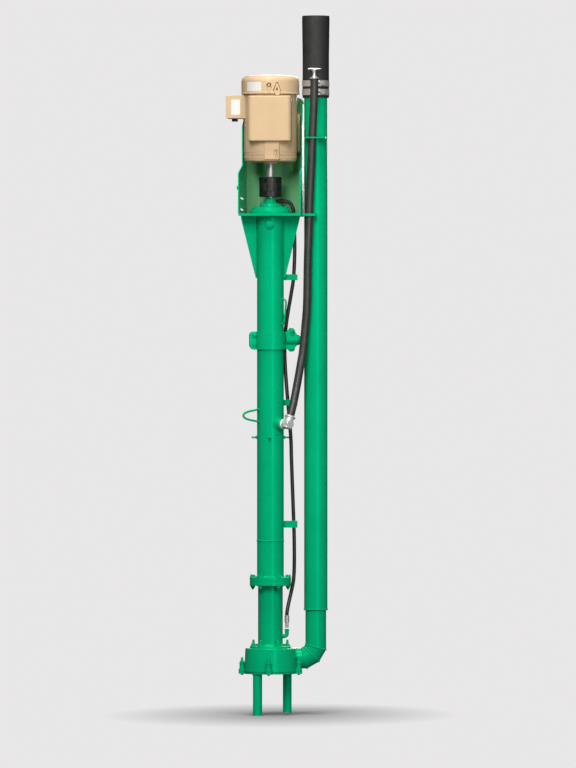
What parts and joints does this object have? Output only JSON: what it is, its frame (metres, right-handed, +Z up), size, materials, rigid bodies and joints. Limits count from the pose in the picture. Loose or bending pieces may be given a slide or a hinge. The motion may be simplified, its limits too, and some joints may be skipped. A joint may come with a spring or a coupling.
{
  "type": "vertical slurry pump",
  "caption": "Vertical slurry pump: volute on legs, long shaft column, side discharge pipe with a hose end, and a foot-mounted motor on a steel stand.",
  "frame": {"origin": "on the back face of the motor stand's back plate, level with the top of the base plate and in the plane of the column's axis", "axes": "+Z up along the column, +Y out of the stand's back face, +X to the right seen from the front"},
  "size_m": [0.5015, 0.316, 3.428],
  "materials": {
    "green_paint": "satin green enamel on steel and cast iron",
    "beige_paint": "satin beige enamel on the motor",
    "black_rubber": "dull black rubber",
    "black_iron": "black oxide",
    "bright_steel": "turned and plated steel",
    "galvanised": "hot-dip galvanised malleable iron"
  },
  "bodies": {
    "pump": {"leg_front_left": "green_paint", "leg_back_left": "green_paint", "leg_back_right": "green_paint", "bottom_plate": "green_paint", "volute_casing": "green_paint", "volute_cover": "green_paint", "lower_column": "green_paint", "upper_column": "green_paint", "filler_elbow": "galvanised", "filler_hose": "black_rubber", "filler_plug": "bright_steel", "grease_hose": "black_rubber", "grease_fitting": "bright_steel", "grease_inlet": "black_iron", "hose_clip_top": "green_paint", "hose_clip_middle": "green_paint", "hose_clip_bottom": "green_paint", "cable_loop": "green_paint", "collar_front": "green_paint", "collar_back": "green_paint", "brace_pipe": "green_paint", "side_loop": "green_paint", "elbow_outlet": "green_paint", "elbow_lower": "green_paint", "elbow_upper": "green_paint", "elbow_riser": "green_paint", "discharge_pipe": "green_paint", "discharge_hose": "black_rubber", "band_clamp_lower": "bright_steel", "band_clamp_upper": "bright_steel", "hose_guide": "green_paint", "base_plate": "green_paint", "gusset_left": "green_paint", "gusset_right": "green_paint", "bearing_housing": "green_paint", "stand_back_plate": "green_paint", "stand_side_left": "green_paint", "stand_side_right": "green_paint", "motor_end_bell": "beige_paint", "motor_body": "beige_paint", "fan_cover": "beige_paint", "motor_front_cover": "beige_paint", "conduit_box": "beige_paint", "motor_feet": "beige_paint"},
    "rotor": {"pump_shaft": "bright_steel", "motor_shaft": "bright_steel", "coupling_lower": "black_iron", "coupling_spider": "black_rubber", "coupling_upper": "black_iron", "impeller": "black_iron"}
  },
  "joints": [
    {"name": "shaft_spin", "type": "hinge", "parent": "pump", "child": "rotor", "pos_m": [0, -0.14335, 0], "axis": [0, 0, 1], "continuous": true}
  ]
}
